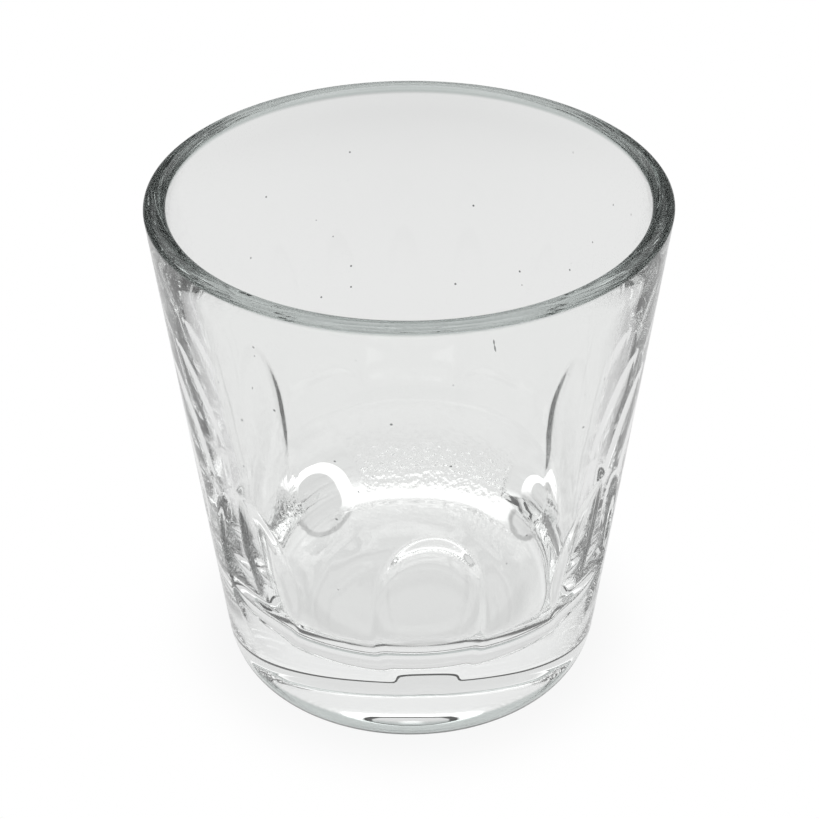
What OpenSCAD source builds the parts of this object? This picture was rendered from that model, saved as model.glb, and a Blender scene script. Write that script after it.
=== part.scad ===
// Small straight-sided coffee tumbler, pressed in clear glass in one piece.
// The origin is the middle of the ring that it stands on, and +Z points up.
// One outline is turned about the axis, and a ring of oval finger prints is
// scooped out of the lower wall.

/* [Body] */
// Height from the table to the top of the lip
glass_height = 75; // [66:1:90]
// Outside diameter that the straight wall would reach at the top
mouth_dia = 72.4; // [68:0.2:80]
// Outside diameter that the straight wall would reach at the table
foot_dia = 55.8; // [52:0.2:62]
// How far the heel is drawn in from the wall at the table
heel_reach = 2; // [1.2:0.1:3]
// How far the heel's curve rises up the wall
heel_rise = 7; // [4:0.25:9]

/* [Cavity] */
// Wall thickness just under the lip
lip_wall = 3; // [2.4:0.1:3.8]
// How far the lip's curve rises above the two straight walls
lip_rise = 0.8; // [0.5:0.1:1.2]
// Wall thickness where the wall meets the floor
floor_wall = 5.5; // [4:0.25:8]
// Solid glass between the table and the middle of the floor
base_thick = 7.5; // [6:0.25:11]
// Radius of the turn from the wall into the floor
floor_round = 12; // [8:0.5:14]
// How much lower the middle of the floor lies than its edge
floor_dish = 0.8; // [0.2:0.1:1.6]

/* [Foot] */
// Diameter of the hollow under the base
hollow_dia = 44; // [36:1:46]
// Depth of the hollow under the base
hollow_depth = 0.8; // [0.4:0.1:2]

/* [Finger prints] */
// Number of finger prints round the wall
print_count = 7; // [4:1:8]
// Height of one finger print, along the wall
print_height = 30; // [22:0.5:32]
// Depth of a finger print at its middle
print_depth = 1.5; // [1:0.1:2.2]
// Height of the middle of a finger print above the table
print_middle = 25; // [22:0.5:30]
// Turn of the first finger print from the front, towards +X
print_turn = 5; // [-25:1:25]

/* [Hidden] */
// Straight pieces in a quarter round of the outline
arc_steps = 10;
// Sides of the turned body
$fn = 144;
// Lean of the outside wall, away from upright
outer_lean = atan((mouth_dia - foot_dia) / 2 / glass_height);
// Height at which the floor's edge would meet the wall if it were not rounded
floor_level = base_thick + floor_dish;
// Radius of the outside wall at a height
function outer_radius(z) = foot_dia / 2 + z * tan(outer_lean);
// Radius of the cavity at the level of the floor and at the top
cavity_low = outer_radius(floor_level) - floor_wall;
cavity_top = outer_radius(glass_height) - lip_wall;
// Lean of the cavity's wall, away from upright
inner_lean = atan((cavity_top - cavity_low) / (glass_height - floor_level));
// Height at which the lip's curve begins, and radius of the cavity there
lip_foot = glass_height - lip_rise;
lip_bore = cavity_top - lip_rise * tan(inner_lean);
// Half width of the lip's oval, which touches both leaning walls
lip_reach = sqrt(pow((outer_radius(lip_foot) - lip_bore) / 2, 2)
    - pow(lip_rise, 2) * tan(outer_lean) * tan(inner_lean));
// Radius of the ball that scoops a finger print
scoop_radius = (pow(print_height / 2, 2) + pow(print_depth, 2)) / 2 / print_depth;
// Radius of the ball whose cap is the hollow under the base
hollow_radius = (pow(hollow_dia / 2, 2) + pow(hollow_depth, 2)) / 2 / hollow_depth;

// Points on an oval arc round a centre, with its two half widths, both ends kept
function oval_arc(centre, half_width, half_height, from, to, steps = arc_steps) =
    [for (i = [0:steps])
        let (turn = from + (to - from) * i / steps)
        centre + [half_width * cos(turn), half_height * sin(turn)]];
// Points on a round arc
function arc(centre, radius, from, to, steps = arc_steps) =
    oval_arc(centre, radius, radius, from, to, steps);

// The heel is a quarter of an oval, which runs into the wall at this angle of it
heel_end = -atan(tan(outer_lean) * heel_rise / heel_reach);
// Middle of that oval, which touches the table and the leaning wall
heel_middle = [outer_radius(heel_rise + heel_rise * sin(heel_end))
    - heel_reach * cos(heel_end), heel_rise];
// Middle of the lip's oval, under the top and between the two walls
lip_middle = [(outer_radius(lip_foot) + lip_bore) / 2, lip_foot];
// Angles of the oval at which it runs into the outside wall and into the cavity's
lip_start = -atan(tan(outer_lean) * lip_rise / lip_reach);
lip_end = 180 - atan(tan(inner_lean) * lip_rise / lip_reach);
// Middle of the round between the cavity's wall and its floor
floor_middle = [cavity_low + floor_round * tan(inner_lean)
    - floor_round / cos(inner_lean), floor_level + floor_round];
// Radius of the ball whose cap is the dished floor
dish_radius = (pow(floor_middle[0], 2) + pow(floor_dish, 2)) / 2 / floor_dish;

// Half of the glass cut through its axis, from the middle of the base outwards,
// up the outside, over the lip and down the cavity to the middle of the floor
function half_section() = concat(
    arc([0, hollow_depth - hollow_radius], hollow_radius,
        90, acos(hollow_dia / 2 / hollow_radius)),
    oval_arc(heel_middle, heel_reach, heel_rise, -90, heel_end),
    oval_arc(lip_middle, lip_reach, lip_rise, lip_start, lip_end, 2 * arc_steps),
    arc(floor_middle, floor_round, -inner_lean, -90),
    arc([0, base_thick + dish_radius], dish_radius,
        asin(floor_middle[0] / dish_radius) - 90, -90)
);

module finger_print() {
    // The scoop sinks square to the leaning wall
    translate([outer_radius(print_middle), 0, print_middle])
        rotate([0, outer_lean, 0])
            translate([scoop_radius - print_depth, 0, 0])
                sphere(r = scoop_radius);
}

module tumbler() {
    color([0.90, 0.92, 0.91, 0.35])
        difference() {
            rotate_extrude() polygon(half_section());
            for (i = [0:print_count - 1])
                rotate([0, 0, print_turn - 90 + i * 360 / print_count])
                    finger_print();
        }
}

tumbler();
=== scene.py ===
import math
import bpy
import numpy as np
from mathutils import Matrix


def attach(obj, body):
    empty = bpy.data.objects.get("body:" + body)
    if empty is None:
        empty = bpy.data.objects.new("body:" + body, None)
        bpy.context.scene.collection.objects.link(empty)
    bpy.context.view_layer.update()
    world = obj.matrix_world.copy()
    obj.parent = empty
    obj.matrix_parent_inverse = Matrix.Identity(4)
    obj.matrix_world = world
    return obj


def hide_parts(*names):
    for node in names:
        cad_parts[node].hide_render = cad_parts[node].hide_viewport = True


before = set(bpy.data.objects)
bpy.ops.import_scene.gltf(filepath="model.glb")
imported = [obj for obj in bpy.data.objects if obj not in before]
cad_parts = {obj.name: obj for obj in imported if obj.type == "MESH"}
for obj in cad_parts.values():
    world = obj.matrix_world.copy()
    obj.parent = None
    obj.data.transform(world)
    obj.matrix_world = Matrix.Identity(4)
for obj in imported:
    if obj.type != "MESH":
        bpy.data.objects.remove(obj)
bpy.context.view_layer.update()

mm = 0.001      # in metres


class Wire:
    # A socket to read from. Sums, products and powers of wires and numbers add Math nodes.
    def __init__(self, tree, socket=None):
        self.tree, self.socket = tree, socket

    def node(self, kind, settings=None, sockets=None, out=0):
        # adds one node: its settings first, then a value or a wire for each socket
        made = self.tree.nodes.new("ShaderNode" + kind)
        for name, value in (settings or {}).items():
            setattr(made, name, value)
        for name, value in (sockets or {}).items():
            if isinstance(value, Wire):
                self.tree.links.new(value.socket, made.inputs[name])
            else:
                made.inputs[name].default_value = value
        return Wire(self.tree, made.outputs[out] if made.outputs else None)

    def calc(self, operation, *parts):
        return self.node("Math", {"operation": operation}, dict(enumerate(parts)))

    def __add__(self, other):
        return self.calc("ADD", self, other)

    def __radd__(self, other):
        return self.calc("ADD", other, self)

    def __sub__(self, other):
        return self.calc("SUBTRACT", self, other)

    def __rsub__(self, other):
        return self.calc("SUBTRACT", other, self)

    def __mul__(self, other):
        return self.calc("MULTIPLY", self, other)

    def __rmul__(self, other):
        return self.calc("MULTIPLY", other, self)

    def __truediv__(self, other):
        return self.calc("DIVIDE", self, other)

    def __pow__(self, other):
        return self.calc("POWER", self, other)

    def between(self, low, high):
        # 0 below the low value, 1 above the high one, a smooth step from one to the other
        return self.node("MapRange", {"interpolation_type": "SMOOTHSTEP"},
                         {"Value": self, "From Min": low, "From Max": high})

    def above(self, edge, soft):
        # a smooth step from 0 to 1 with its middle at the edge
        return self.between(edge - soft, edge + soft)

    def axis(self, name):
        # the X, Y or Z part of a vector
        return self.node("SeparateXYZ", None, {0: self}, name)

    def length(self):
        return self.node("VectorMath", {"operation": "LENGTH"}, {0: self}, "Value")

    def along(self, direction):
        # the dot product of a vector with a fixed one
        return self.node("VectorMath", {"operation": "DOT_PRODUCT"}, {0: self, 1: direction}, "Value")

    def mix(self, first, second):
        # the first colour where this wire is 0, the second where it is 1
        return self.node("Mix", {"data_type": "RGBA"}, {0: self, 6: first, 7: second}, 2)


def emptyTree(owner):
    # clears the nodes of a material or a world, and gives a wire that adds new ones
    owner.use_nodes = True
    owner.node_tree.nodes.clear()
    return Wire(owner.node_tree)


# The tumbler, in millimetres and degrees. Its height and mouth are a hair under the solid's,
# so that no point stands outside the solid's box.
tumbler = {
    "height": 74.998,
    "mouthDia": 72.37,           # what the straight wall would reach at the top
    "footDia": 55.8,             # and at the table
    "heelReach": 2.0,            # how far the heel is drawn in from the wall
    "heelRise": 7.0,             # and how far its curve rises
    "lipWall": 3.0,              # the wall under the lip
    "lipRise": 0.8,              # how far the lip's curve rises above the walls
    "floorWall": 5.5,            # the wall where it would meet the floor
    "baseThick": 7.5,            # the glass under the middle of the floor
    "floorRound": 12.0,          # the turn from the wall into the floor
    "floorDish": 0.8,            # how much lower the middle of the floor lies than its edge
    "hollowDia": 44.0,           # the hollow under the base
    "hollowDepth": 0.8,
    "plungerShift": (0.2, 0.0),  # the cavity stands to one side, most at its floor
    "columns": 399,              # points round the axis, a whole number for each print
    # points along each stretch of the outline, and how many of the lip's lie outside
    "rows": {"hollow": 12, "ring": 2, "heel": 16, "wallLow": 4, "prints": 84, "wallTop": 8,
             "lip": 36, "lipOutside": 20, "cavityWall": 14, "floorRound": 58, "dish": 12},
}
# the finger prints, in millimetres and degrees
fingerPrints = {
    "turn": 4.9,                              # of the first, from the front
    "wide": 16.2, "tall": 30.0, "depth": 0.85,
    "middle": 25.0,                           # its height above the table
    "nudges": (0, 0, 0, -10, 0, -17, 0),      # how far each is from its even place
    "shares": (1, 1, 1, 0.5, 0.5, 1, 1),      # how deep each is, as a share of the full depth
    "grow": (7.0, 27.0),                      # the heights between which a print grows to its depth
    "panEdge": 5.0,                           # 2 gives a plain bowl, more a flat pan with a steep edge
    "edgeSoft": 0.15,                         # how softly the pan's edge runs into the wall
    "margin": 1.0,                            # how far the close rows go on past the prints
}
# two smooth ovals on the floor's round, in millimetres and degrees from the front
dimples = (
    {"angle": -139, "radius": 21.7, "height": 13.0, "halfWidth": 7.0, "depth": 0.12},
    {"angle": 121, "radius": 23.0, "height": 13.8, "halfWidth": 5.6, "depth": 0.12},
)
dimpleSlant = 0.7                             # the share of its depth that one sinks, down and outwards
# Where the cavity is hammered and where it has dust: heights in millimetres, and sines of the
# angle round the axis, which are 1 at the back.
zones = {
    "chillStart": (9.5, 12), "chillEnd": (14, 20),
    "chillBack": (0.58, 0.83), "chillSides": (0, 1 / 3),
    "backShare": 0.88,                        # of the marks, the sides have the rest
    "smoothDepth": 0.025,                     # where a dimple sinks the floor more than this, it has no marks
    "dustStart": (22, 30), "dustEnd": (66, 72),
}


def ramp(value, low, high):
    # 0 below the low value, 1 above the high one, a straight line from one to the other
    return np.clip((value - low) / (high - low), 0, 1)


def ballRadius(rim, depth):
    # the ball whose cap has this radius and depth: the sum of their squares, over twice the depth
    return (rim ** 2 + depth ** 2) / 2 / depth


def arcRow(centre, halfWidth, halfHeight, start, end, steps):
    # points of an oval arc: the centre, plus the half sizes times cosine and sine of the angle
    turn = np.radians(np.linspace(start, end, steps))
    return np.stack([centre[0] + halfWidth * np.cos(turn), centre[1] + halfHeight * np.sin(turn)], 1)


def lineRow(start, end, steps):
    # evenly spaced points between two others, neither end kept
    share = np.linspace(0, 1, steps + 2)[1:-1, None]
    return np.asarray(start) * (1 - share) + np.asarray(end) * share


def tumblerOutline(size, prints):
    # The cut glass from the middle of the base outwards, up the wall, over the lip and down to
    # the middle of the floor: straight lines, and arcs that touch them. Gives the points and,
    # for each, 0 outside or 1 in the cavity.
    rows = size["rows"]
    slope = (size["mouthDia"] - size["footDia"]) / 2 / size["height"]

    def wallAt(height):
        return size["footDia"] / 2 + height * slope

    # the straight wall of the cavity
    floorLevel = size["baseThick"] + size["floorDish"]
    cavityLow = wallAt(floorLevel) - size["floorWall"]
    cavityTop = wallAt(size["height"]) - size["lipWall"]
    innerSlope = (cavityTop - cavityLow) / (size["height"] - floorLevel)
    innerLean = math.atan(innerSlope)

    # the hollow is the cap of a ball, and the heel is a part of an oval
    hollowBall = ballRadius(size["hollowDia"] / 2, size["hollowDepth"])
    hollowRim = math.degrees(math.acos(size["hollowDia"] / 2 / hollowBall))
    hollowMiddle = 0, size["hollowDepth"] - hollowBall
    hollow = arcRow(hollowMiddle, hollowBall, hollowBall, 90, hollowRim, rows["hollow"])[1:]
    heelEnd = -math.atan(slope * size["heelRise"] / size["heelReach"])
    heelTop = size["heelRise"] * (1 + math.sin(heelEnd))
    heelMiddle = wallAt(heelTop) - size["heelReach"] * math.cos(heelEnd), size["heelRise"]
    heel = arcRow(heelMiddle, size["heelReach"], size["heelRise"], -90, math.degrees(heelEnd), rows["heel"])

    # the lip is a part of an oval that touches both walls
    lipFoot = size["height"] - size["lipRise"]
    lipOut, lipIn = wallAt(lipFoot), cavityTop - size["lipRise"] * innerSlope
    lipReach = math.sqrt((lipOut - lipIn) ** 2 / 4 - size["lipRise"] ** 2 * slope * innerSlope)
    lipStart = -math.degrees(math.atan(slope * size["lipRise"] / lipReach))
    lipEnd = 180 - math.degrees(math.atan(innerSlope * size["lipRise"] / lipReach))
    lipMiddle = (lipOut + lipIn) / 2, lipFoot
    lip = arcRow(lipMiddle, lipReach, size["lipRise"], lipStart, lipEnd, rows["lip"])

    # the round touches the cavity's wall and the floor, which is the cap of another ball
    turnIn = size["floorRound"]
    turnMiddle = cavityLow + turnIn * innerSlope - turnIn / math.cos(innerLean), floorLevel + turnIn
    floorRound = arcRow(turnMiddle, turnIn, turnIn, -math.degrees(innerLean), -90, rows["floorRound"])
    dishBall = ballRadius(turnMiddle[0], size["floorDish"])
    dishRim = math.degrees(math.asin(turnMiddle[0] / dishBall)) - 90
    dishMiddle = 0, size["baseThick"] + dishBall
    dish = arcRow(dishMiddle, dishBall, dishBall, dishRim, -90, rows["dish"])[1:-1]

    # the rows stand close where the prints are
    reach = prints["tall"] / 2 + prints["margin"]
    low, high = prints["middle"] - reach, prints["middle"] + reach
    bandLow, bandTop = (wallAt(low), low), (wallAt(high), high)
    outside = [hollow, lineRow(hollow[-1], heel[0], rows["ring"]), heel,
               lineRow(heel[-1], bandLow, rows["wallLow"]), lineRow(bandLow, bandTop, rows["prints"]),
               lineRow(bandTop, lip[0], rows["wallTop"]), lip[:rows["lipOutside"]]]
    cavity = [lip[rows["lipOutside"]:], lineRow(lip[-1], floorRound[0], rows["cavityWall"]), floorRound, dish]
    count = sum(map(len, outside)), sum(map(len, cavity))
    return np.concatenate(outside + cavity), np.repeat([0, 1], count)


def printDepth(prints, around, up, radius):
    # How deep the finger prints sink: for each, the full depth times one less a power of the
    # distance from its middle, as a share of its half width and height. What would stand out
    # of the wall is nothing, with a soft turn between the two. All of it is times the print's
    # own share and a smooth step in height.
    depth = np.zeros_like(radius)
    grown = ramp(up, *prints["grow"])
    grown = grown * grown * (3 - 2 * grown)
    count = len(prints["shares"])
    evenly = prints["turn"] - 90 + np.arange(count) * 360 / count
    for turn, full in zip(evenly + prints["nudges"], prints["shares"]):
        away = (around - math.radians(turn) + np.pi) % (2 * np.pi) - np.pi
        share = np.hypot(radius * away / (prints["wide"] / 2), (up - prints["middle"]) / (prints["tall"] / 2))
        pan = prints["depth"] * (1 - share ** prints["panEdge"])
        soft = np.clip(0.5 + 0.5 * pan / prints["edgeSoft"], 0, 1)
        depth += (pan * soft + prints["edgeSoft"] * soft * (1 - soft)) * full * grown
    return depth


def dimpleDepth(dimples, points):
    # How deep the dimples in the floor's round sink: the full depth times one less the cube of
    # the distance from the middle, as a share of the half width, never under nothing.
    depth = np.zeros(points.shape[:-1])
    for dimple in dimples:
        angle = math.radians(dimple["angle"] - 90)
        middle = dimple["radius"] * math.cos(angle), dimple["radius"] * math.sin(angle), dimple["height"]
        away = np.linalg.norm(points - np.array(middle), axis=-1)
        depth += dimple["depth"] * np.maximum(1 - (away / dimple["halfWidth"]) ** 3, 0)
    return depth


def cavityZones(zone, around, up, inside, sunk):
    # Shares of the chilled zone, on the floor's round, and of the dusty one, on the wall above
    # it: ramps up and down in height. The first is also times two ramps towards the back, and
    # fades in the dimples.
    back = np.sin(around)
    toBack = zone["backShare"] * ramp(back, *zone["chillBack"])
    toBack += (1 - zone["backShare"]) * ramp(back, *zone["chillSides"])
    smooth = ramp(sunk, 0, zone["smoothDepth"])
    chill = inside * ramp(up, *zone["chillStart"]) * (1 - ramp(up, *zone["chillEnd"])) * toBack * (1 - smooth)
    dust = inside * ramp(up, *zone["dustStart"]) * (1 - ramp(up, *zone["dustEnd"]))
    return {"chill": chill, "dust": dust}


def closedMesh(name, grid, poles):
    # Faces between the points of the grid, whose rows close on themselves, and a fan of
    # triangles from each pole to the first and the last row.
    columns = grid.shape[1]
    points = np.concatenate([grid.reshape(-1, 3), poles])
    index = np.arange(len(points) - 2).reshape(grid.shape[:2])
    right = np.roll(index, -1, 1)
    quads = np.stack([index[:-1], right[:-1], right[1:], index[1:]], -1).reshape(-1, 4)
    firstFan = np.stack([np.full(columns, index.size), right[0], index[0]], -1)
    lastFan = np.stack([np.full(columns, index.size + 1), index[-1], right[-1]], -1)
    corners = np.concatenate([quads.ravel(), firstFan.ravel(), lastFan.ravel()])
    sizes = np.concatenate([np.full(len(quads), 4), np.full(2 * columns, 3)])
    mesh = bpy.data.meshes.new(name)
    mesh.vertices.add(len(points))
    mesh.vertices.foreach_set("co", points.ravel())
    mesh.loops.add(len(corners))
    mesh.loops.foreach_set("vertex_index", corners)
    mesh.polygons.add(len(sizes))
    mesh.polygons.foreach_set("loop_start", np.concatenate([[0], np.cumsum(sizes)[:-1]]))
    mesh.polygons.foreach_set("use_smooth", np.ones(len(sizes), bool))
    mesh.update(calc_edges=True)
    return mesh


def tumblerMesh(name, size, prints):
    # Every point of the outline turned about the axis, less the prints on the outside. In the
    # cavity the points move with the plunger, more the lower they are, and the dimples sink.
    outline, inside = tumblerOutline(size, prints)
    inside = inside[:, None]
    around = np.arange(size["columns"]) / size["columns"] * 2 * np.pi
    radius, up = (outline[:, i, None] * np.ones(size["columns"]) for i in (0, 1))
    radius = radius - (1 - inside) * printDepth(prints, around, up, radius)
    low = (1 - ramp(up, size["baseThick"], size["height"])) * inside
    shiftX, shiftY = size["plungerShift"]
    grid = np.stack([radius * np.cos(around) + shiftX * low, radius * np.sin(around) + shiftY * low, up], -1)
    sunk = dimpleDepth(dimples, grid) * inside * dimpleSlant
    grid += np.stack([sunk * np.cos(around), sunk * np.sin(around), -sunk], -1)
    poles = np.array([[0, 0, size["hollowDepth"]], [shiftX, shiftY, size["baseThick"]]])
    mesh = closedMesh(name, grid * mm, poles * mm)
    for title, share in cavityZones(zones, around, up, inside, sunk).items():
        values = np.append(share.ravel(), [0, 0]).astype(np.float32)      # the two poles have none
        mesh.attributes.new(title, "FLOAT", "POINT").data.foreach_set("value", values)
    mesh.validate()
    return mesh


glass = bpy.data.objects.new("pressed_glass", tumblerMesh("pressed_glass", tumbler, fingerPrints))
bpy.context.scene.collection.objects.link(glass)
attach(glass, "root")
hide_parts("tumbler")
print("glass turned:", len(glass.data.polygons), "faces")

# the finish of the glass, with places and heights in metres
glassFinish = {
    "tint": (0.985, 0.99, 0.985, 1),
    "paintedShadeGrey": (0.38, 0.43, 0.415, 1),      # painted shade, on the lip and on the low front of the heel
    "lipEdge": (0.0738, 0.0744),             # the heights over which the lip's painted shade sets in
    "wornTop": (0.0034, 0.0042),             # the heel's painted shade is low, near the foot's edge and in front
    "footShadeReach": (0.0256, 0.0259),
    "footShadeBack": (-0.020, -0.010),
    "indexOfGlass": 1.52,
    "roughness": 0.0,
    "bodyColour": (0.47, 0.50, 0.485, 1),    # what the thickness of the glass takes away
    "bodyDensity": 2.6,
    "chillSize": 1200, "chillDetail": 1.5,   # hammered marks where the floor's round chilled first
    "chillHeight": 0.0009,
    "waveSize": 110,                         # slow waves in the fire-polished surface
    "lipWave": 0.00012, "wallWave": 0.00003,
    "seedSize": 420,                         # dust and seeds on the wall: cells to a metre, about
    "seedShare": 0.30, "shareSoft": 0.01,    # the share of the cells that have one
    "seedRound": 0.09, "seedCore": 0.063,    # radius of a seed and of its full tone, in cells
    "seedColour": (0.05, 0.055, 0.055, 1),
}


def clearGlass(finish):
    # Refracting glass with a little absorption. Its bumps are noise times the share of the
    # chilled zone, and slow waves. Painted shade greys its tint on the lip and low on the heel's front.
    made = bpy.data.materials.new("clear_glass")
    tree = emptyTree(made)
    spot = tree.node("TexCoord", None, None, "Object")
    height, depth = spot.axis("Z"), spot.axis("Y")
    # the lip: its tint takes painted shade for the darker rim, and it waves more
    lip = height.between(*finish["lipEdge"])
    # painted shade on the lowest part of the heel, in front only, for the dark bottom edge where the glass
    # stands on the floor
    worn = (1 - height.between(*finish["wornTop"])) * spot.length().between(*finish["footShadeReach"])
    worn = worn * (1 - depth.between(*finish["footShadeBack"]))

    chill = tree.node("Attribute", {"attribute_name": "chill"}, None, "Fac")
    grain = tree.node("TexNoise", None,
                      {"Vector": spot, "Scale": finish["chillSize"], "Detail": finish["chillDetail"]}, "Fac")
    wave = tree.node("TexNoise", None, {"Vector": spot, "Scale": finish["waveSize"], "Detail": 0.0}, "Fac")
    waves = (wave - 0.5) * (lip * finish["lipWave"] + finish["wallWave"])
    relief = grain * chill * finish["chillHeight"] + waves
    hammered = tree.node("Bump", None, {"Height": relief, "Distance": 1.0, "Strength": 1.0}, "Normal")

    # a round seed in the middle of a cell, in the cells whose random colour draws one
    dust = tree.node("Attribute", {"attribute_name": "dust"}, None, "Fac")
    cells = {"Vector": spot, "Scale": finish["seedSize"]}
    lot = tree.node("TexVoronoi", None, cells, "Color").axis("X")
    near = tree.node("TexVoronoi", None, cells, "Distance")
    seed = dust * (1 - near.between(finish["seedCore"], finish["seedRound"]))
    seed = seed * (1 - lot.above(finish["seedShare"], finish["shareSoft"]))
    # the tint, grey with painted shade on the lip and the heel's low front, and dark seeds of dust
    colour = seed.mix((lip + worn).mix(finish["tint"], finish["paintedShadeGrey"]), finish["seedColour"])

    surface = tree.node("BsdfPrincipled", None, {
        "Base Color": colour, "Roughness": finish["roughness"], "Normal": hammered,
        "IOR": finish["indexOfGlass"], "Transmission Weight": 1.0})
    body = tree.node("VolumeAbsorption", None,
                     {"Color": finish["bodyColour"], "Density": finish["bodyDensity"]})
    tree.node("OutputMaterial", None, {"Surface": surface, "Volume": body})
    return made


glass.data.materials.append(clearGlass(glassFinish))
print("glass finished")

# the floor, in metres, with distances from the axis of the glass
floorLook = {
    "halfSize": 3.0,
    "drop": 0.00005,                                # it lies a hair under the glass, so that they never touch
    "nearTone": 0.82, "farTone": 0.35,              # what the glass shows of the floor, near it and far off
    "fade": (0.14, 0.30),                           # where the one turns into the other
    "shadowTone": 0.07, "shadowFade": (0.026, 0.045),   # the faint shadow round the foot
}
# The light that the glass gathers on the floor, as shares of the floor's tone. It shows only
# through the glass: a bright ring close round the foot, mostly behind it, which two ovals break.
gatheredLight = {
    "tone": 0.75,
    "ringInner": (0.0255, 0.0268), "ringOuter": (0.0285, 0.0305),
    # its brightness by the sine of the angle round the foot, which is 1 straight behind
    "sideShare": 0.15, "sideTurn": (-0.5, 0.0),
    "backShare": 0.65, "backTurn": (0.68, 0.78),
    "underShade": 0.12, "underEdge": (0.0200, 0.0235),   # the floor is darker under the foot
}
# The ovals, in metres and degrees from the front. Distances in them are shares of their size:
# 1 is the edge, and outwards is away from the foot.
lightOvals = {
    "each": ({"angle": -143, "reach": 0.0300, "halfLength": 0.0096, "halfWidth": 0.0070, "lean": -45},
             {"angle": 131, "reach": 0.0335, "halfLength": 0.0096, "halfWidth": 0.0058, "lean": 35}),
    "ringGap": (0.90, 1.0),                         # the bright ring ends here
    "insideShade": 0.10, "insideEdge": (0.80, 0.90),
    "lineShade": 0.45, "lineInner": (0.80, 0.88),   # a dark line along the edge, on the foot's side
    "lineOuter": (0.96, 1.02), "lineSide": (-0.3, 0.1),
    "crescent": 1.2, "crescentInner": (0.55, 0.62),     # a bright crescent on the other side
    "crescentOuter": (0.95, 1.0), "crescentSide": (-0.2, 0.2),
}


def ovalLight(tree, place, ovals):
    # For all the ovals: what they leave of the ring, their crescents and their shades. Each is
    # a product of smooth steps in the distance from the oval's middle and in the way outwards.
    left, crescents, shades = 1, 0, 0
    for oval in ovals["each"]:
        angle = math.radians(oval["angle"] - 90)
        middle = oval["reach"] * math.cos(angle), oval["reach"] * math.sin(angle), 0
        offset = tree.node("VectorMath", {"operation": "SUBTRACT"}, {0: place, 1: middle}, "Vector")
        leaning = angle + math.radians(oval["lean"])
        east, north = math.cos(leaning), math.sin(leaning)
        outward = offset.along((east / oval["halfLength"], north / oval["halfLength"], 0))
        sideways = offset.along((-north / oval["halfWidth"], east / oval["halfWidth"], 0))
        far = (outward * outward + sideways * sideways) ** 0.5
        left = left * far.between(*ovals["ringGap"])
        within = 1 - far.between(*ovals["insideEdge"])
        line = far.between(*ovals["lineInner"]) * (1 - far.between(*ovals["lineOuter"]))
        line = line * (1 - outward.between(*ovals["lineSide"]))
        shades = shades + ovals["insideShade"] * within + ovals["lineShade"] * line
        crescent = far.between(*ovals["crescentInner"]) * (1 - far.between(*ovals["crescentOuter"]))
        crescents = crescents + crescent * outward.between(*ovals["crescentSide"]) * ovals["crescent"]
    return left, crescents, shades


def paleFloor(look, gathered, ovals):
    # The camera sees white, less a shadow that grows with the square of a smooth step towards
    # the foot. The other rays see a greyer tone, times one plus the gathered light.
    made = bpy.data.materials.new("pale_floor")
    tree = emptyTree(made)
    place = tree.node("TexCoord", None, None, "Object")
    away = place.length()
    tone = look["nearTone"] + (look["farTone"] - look["nearTone"]) * away.between(*look["fade"])

    turned = place.axis("Y") / away
    ring = away.between(*gathered["ringInner"]) * (1 - away.between(*gathered["ringOuter"]))
    behind = gathered["sideShare"] * turned.between(*gathered["sideTurn"])
    behind = behind + gathered["backShare"] * turned.between(*gathered["backTurn"])
    left, crescents, shades = ovalLight(tree, place, ovals)
    added = ring * left * behind * gathered["tone"] + crescents * gathered["tone"] - shades
    added = added - (1 - away.between(*gathered["underEdge"])) * gathered["underShade"]

    near = 1 - away.between(*look["shadowFade"])
    throughGlass = tree.node("Emission", None, {"Color": tone * (1 + added), "Strength": 1.0})
    toCamera = tree.node("Emission", None, {"Color": 1 - look["shadowTone"] * (near * near), "Strength": 1.0})
    seen = tree.node("LightPath", None, None, "Is Camera Ray")
    tree.node("OutputMaterial", None, {
        "Surface": tree.node("MixShader", None, {0: seen, 1: throughGlass, 2: toCamera})})
    return made


def floorMesh(look):
    # a flat square with its corners half its size away on both axes
    size, down = look["halfSize"], -look["drop"]
    corners = [(-size, -size, down), (size, -size, down), (size, size, down), (-size, size, down)]
    mesh = bpy.data.meshes.new("floor")
    mesh.from_pydata(corners, [], [(0, 1, 2, 3)])
    mesh.materials.append(paleFloor(look, gatheredLight, lightOvals))
    return mesh


floor = bpy.data.objects.new("floor", floorMesh(floorLook))
bpy.context.scene.collection.objects.link(floor)
print("floor laid")

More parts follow.
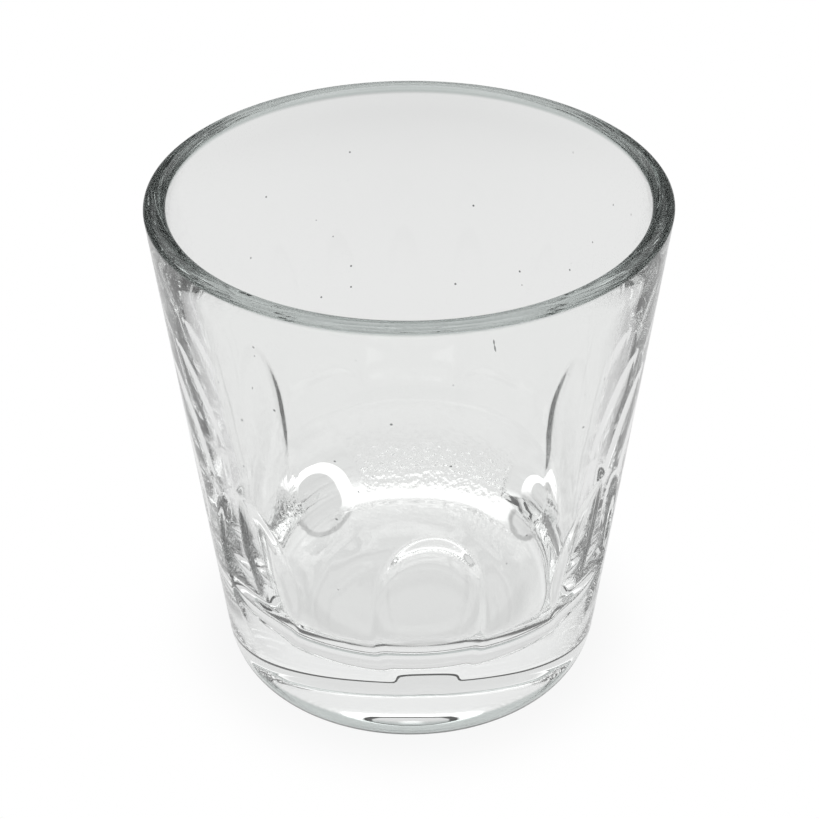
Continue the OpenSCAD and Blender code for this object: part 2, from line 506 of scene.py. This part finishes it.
# the sky, by the height of a direction: 0 is level and 1 straight up
sky = {
    "skyTone": 0.95, "lowTone": 0.07,                # light from above, and from all round low down
    "edge": 0.60, "soft": 0.06, "tilt": 0.12,        # where the one turns into the other, lower at the back
    "keyTone": 1.0,                                  # a bright ring of light high over the glass
    "keyLow": 0.90, "keyLowSoft": 0.01, "keyTop": 0.97, "keyTopSoft": 0.005,
}


def studioSky(look):
    # The camera sees white. The other rays see the sky's tone above a tilted plane through the
    # glass and the low tone under it, plus the key light between its two heights.
    world = bpy.data.worlds.new("studio")
    tree = emptyTree(world)
    way = tree.node("TexCoord", None, None, "Generated")
    up = way.axis("Z")
    lifted = up + look["tilt"] * way.axis("Y")
    tone = look["lowTone"] + (look["skyTone"] - look["lowTone"]) * lifted.above(look["edge"], look["soft"])
    key = up.above(look["keyLow"], look["keyLowSoft"]) * (1 - up.above(look["keyTop"], look["keyTopSoft"]))
    toGlass = tree.node("Background", None, {"Color": tone + look["keyTone"] * key, "Strength": 1.0})
    toCamera = tree.node("Background", None, {"Color": (1, 1, 1, 1), "Strength": 1.0})
    seen = tree.node("LightPath", None, None, "Is Camera Ray")
    tree.node("OutputWorld", None, {
        "Surface": tree.node("MixShader", None, {0: seen, 1: toGlass, 2: toCamera})})
    return world


bpy.context.scene.world = studioSky(sky)
print("sky lit")

# the camera, found from the outline of the glass in the photograph, in metres and degrees
view = {
    "place": (0.0, -0.2475, 0.20565), "pitch": 33.942, "yaw": -0.017, "roll": -0.298,
    "focal": 89.87, "sensor": 36.0,      # in millimetres
    "bounces": 48,                       # light runs a long way inside the wall
}
lens = bpy.data.cameras.new("camera")
lens.sensor_width, lens.lens = view["sensor"], view["focal"]
camera = bpy.data.objects.new("camera", lens)
bpy.context.scene.collection.objects.link(camera)
pitch, yaw, roll = (math.radians(view[turn]) for turn in ("pitch", "yaw", "roll"))
camera.matrix_world = (Matrix.Translation(view["place"]) @ Matrix.Rotation(-yaw, 4, "Z")
                       @ Matrix.Rotation(math.pi / 2 - pitch, 4, "X") @ Matrix.Rotation(roll, 4, "Z"))
scene = bpy.context.scene
scene.camera = camera
scene.view_settings.view_transform = "Standard"
scene.cycles.max_bounces = scene.cycles.transmission_bounces = scene.cycles.glossy_bounces = view["bounces"]
print("camera placed")
